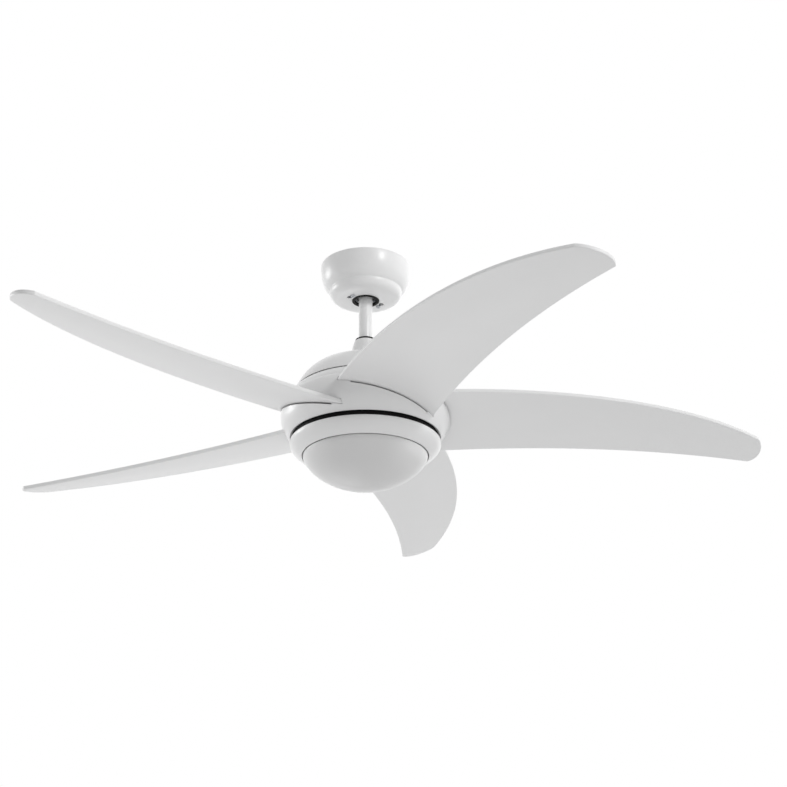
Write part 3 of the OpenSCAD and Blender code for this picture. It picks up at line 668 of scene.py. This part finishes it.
def make_glass():
    thick = 3 * MM
    neck_r = GLASS_R - NECK_IN
    rim = -332.9 * MM
    lug_z = GLASS_TOP - 1.8 * MM
    side = [(GLASS_R, rim), (GLASS_R - 4 * MM, rim - 20.6 * MM),
            (GLASS_R - 48 * MM, GLASS_BOTTOM), (0, GLASS_BOTTOM)]
    inner = [(neck_r - thick, rim - 2 * MM), (GLASS_R - 8 * MM, rim - 17 * MM),
             (GLASS_R - 50 * MM, GLASS_BOTTOM + thick), (0, GLASS_BOTTOM + thick)]
    neck = [Vector((neck_r - thick, GLASS_TOP)), Vector((neck_r, GLASS_TOP)),
            Vector((neck_r, rim + 4.5 * MM))]
    outer = bezier(side, 48)[:-1]
    lining = bezier(inner, 48)[:-1][::-1]
    section = softened(lining + neck + outer, 1.2 * MM, closed=False)
    bm = bmesh.new()
    revolve_cup(bm, section, GLASS_BOTTOM + thick, GLASS_BOTTOM)
    lug = [(neck_r - 0.5 * MM, lug_z - 2.9 * MM), (neck_r + 3.6 * MM, lug_z - 2.9 * MM),
           (neck_r + 3.6 * MM, lug_z), (neck_r - 0.5 * MM, lug_z)]
    for i in range(3):
        revolve(bm, lug, math.radians(120 * i - 12), math.radians(24), 16)
    return finished(new_object("glass_dome", to_mesh(bm, "glass_dome")), "glass_dome")


def revolve_cup(bm, line, lining_bottom, outer_bottom, steps=256):
    """Turns a cup's section into bm; it starts and ends next to the axis, inside and outside."""
    rings = []
    for k in range(steps):
        a = math.tau * k / steps
        rings.append([bm.verts.new((q[0] * math.cos(a), q[0] * math.sin(a), q[1]))
                      for q in line])
    for k in range(steps):
        one, two = rings[k], rings[(k + 1) % steps]
        for i in range(len(line) - 1):
            bm.faces.new((one[i], two[i], two[i + 1], one[i + 1]))
    for index, z in ((0, lining_bottom), (-1, outer_bottom)):
        pole = bm.verts.new((0, 0, z))
        for k in range(steps):
            bm.faces.new((rings[k][index], rings[(k + 1) % steps][index], pole))


make_canopy()
make_collar()
make_downrod()
make_ball()
make_yoke_cover()
make_cover_bush()
make_upper_housing()
make_top_cover()
make_belly()
for blade_index in range(BLADE_COUNT):
    make_blade(blade_index)
make_light_ring()
make_glass()

# ---------------------------------------------------------------- studio

BRIGHT_SIDE = (0.58, 0.8, -0.15)            # the direction in which the studio is brightest
WORLD_RAMP = ((0.15, 0.24), (0.9, 0.86))     # (position, value) of its darkest and brightest
WORLD_STRENGTH = 1.58
FLOOR_Z = -3.0
FAN_CENTRE = (0, 0, -0.25)


def area_light(name, place, target, width, height, watts):
    data = bpy.data.lights.new(name, "AREA")
    data.shape = "ELLIPSE"
    data.size, data.size_y = width, height
    data.energy = watts
    lamp = bpy.data.objects.new(name, data)
    lamp.location = place
    lamp.rotation_mode = "QUATERNION"
    lamp.rotation_quaternion = (Vector(target) - Vector(place)).to_track_quat("-Z", "Y")
    lamp.visible_camera = False
    bpy.context.scene.collection.objects.link(lamp)


def make_floor():
    """A plain pale floor, as far below the fan as a tall room's."""
    bm = bmesh.new()
    bmesh.ops.create_circle(bm, cap_ends=True, segments=96, radius=30)
    bmesh.ops.translate(bm, verts=bm.verts, vec=(0, 0, FLOOR_Z))
    floor = new_object("floor", to_mesh(bm, "floor"))
    n = Nodes("floor_paint")
    n.link(n.ramp(n.noise(3, 3), (0.8, 0.8, 0.8), (0.82, 0.82, 0.82)),
           n.shader.inputs["Base Color"])
    n.set(Roughness=0.7)
    floor.data.materials.append(n.material)


def make_world():
    """White behind the fan, and light round it that is strong behind and weak at the front left."""
    world = bpy.data.worlds.new("studio")
    bpy.context.scene.world = world
    world.use_nodes = True
    tree = world.node_tree
    tree.nodes.clear()
    place = tree.nodes.new("ShaderNodeTexCoord")
    towards = tree.nodes.new("ShaderNodeVectorMath")
    towards.operation = "DOT_PRODUCT"
    towards.inputs[1].default_value = BRIGHT_SIDE
    ramp = tree.nodes.new("ShaderNodeValToRGB")
    ramp.color_ramp.interpolation = "EASE"
    for element, (position, value) in zip(ramp.color_ramp.elements, WORLD_RAMP):
        element.position = position
        element.color = (value, value, value, 1)
    remap = tree.nodes.new("ShaderNodeMapRange")
    remap.inputs["From Min"].default_value = -1
    light = tree.nodes.new("ShaderNodeBackground")
    light.inputs["Strength"].default_value = WORLD_STRENGTH
    backdrop = tree.nodes.new("ShaderNodeBackground")
    backdrop.inputs["Color"].default_value = (1, 1, 1, 1)
    rays = tree.nodes.new("ShaderNodeLightPath")
    mix = tree.nodes.new("ShaderNodeMixShader")
    out = tree.nodes.new("ShaderNodeOutputWorld")
    link = tree.links.new
    link(place.outputs["Generated"], towards.inputs[0])
    link(towards.outputs["Value"], remap.inputs["Value"])
    link(remap.outputs["Result"], ramp.inputs["Fac"])
    link(ramp.outputs["Color"], light.inputs["Color"])
    link(rays.outputs["Is Camera Ray"], mix.inputs["Fac"])
    link(light.outputs["Background"], mix.inputs[1])
    link(backdrop.outputs["Background"], mix.inputs[2])
    link(mix.outputs["Shader"], out.inputs["Surface"])


make_world()
make_floor()
area_light("key_softbox", (1.75, -2.1, 0.9), FAN_CENTRE, 0.55, 0.55, 22)
area_light("side_softbox", (-2.4, 0.9, 0.2), FAN_CENTRE, 1.0, 1.0, 18)
area_light("rear_fill", (-0.6, 2.2, -1.9), FAN_CENTRE, 1.2, 1.2, 5)
bpy.context.scene.view_settings.view_transform = "Standard"
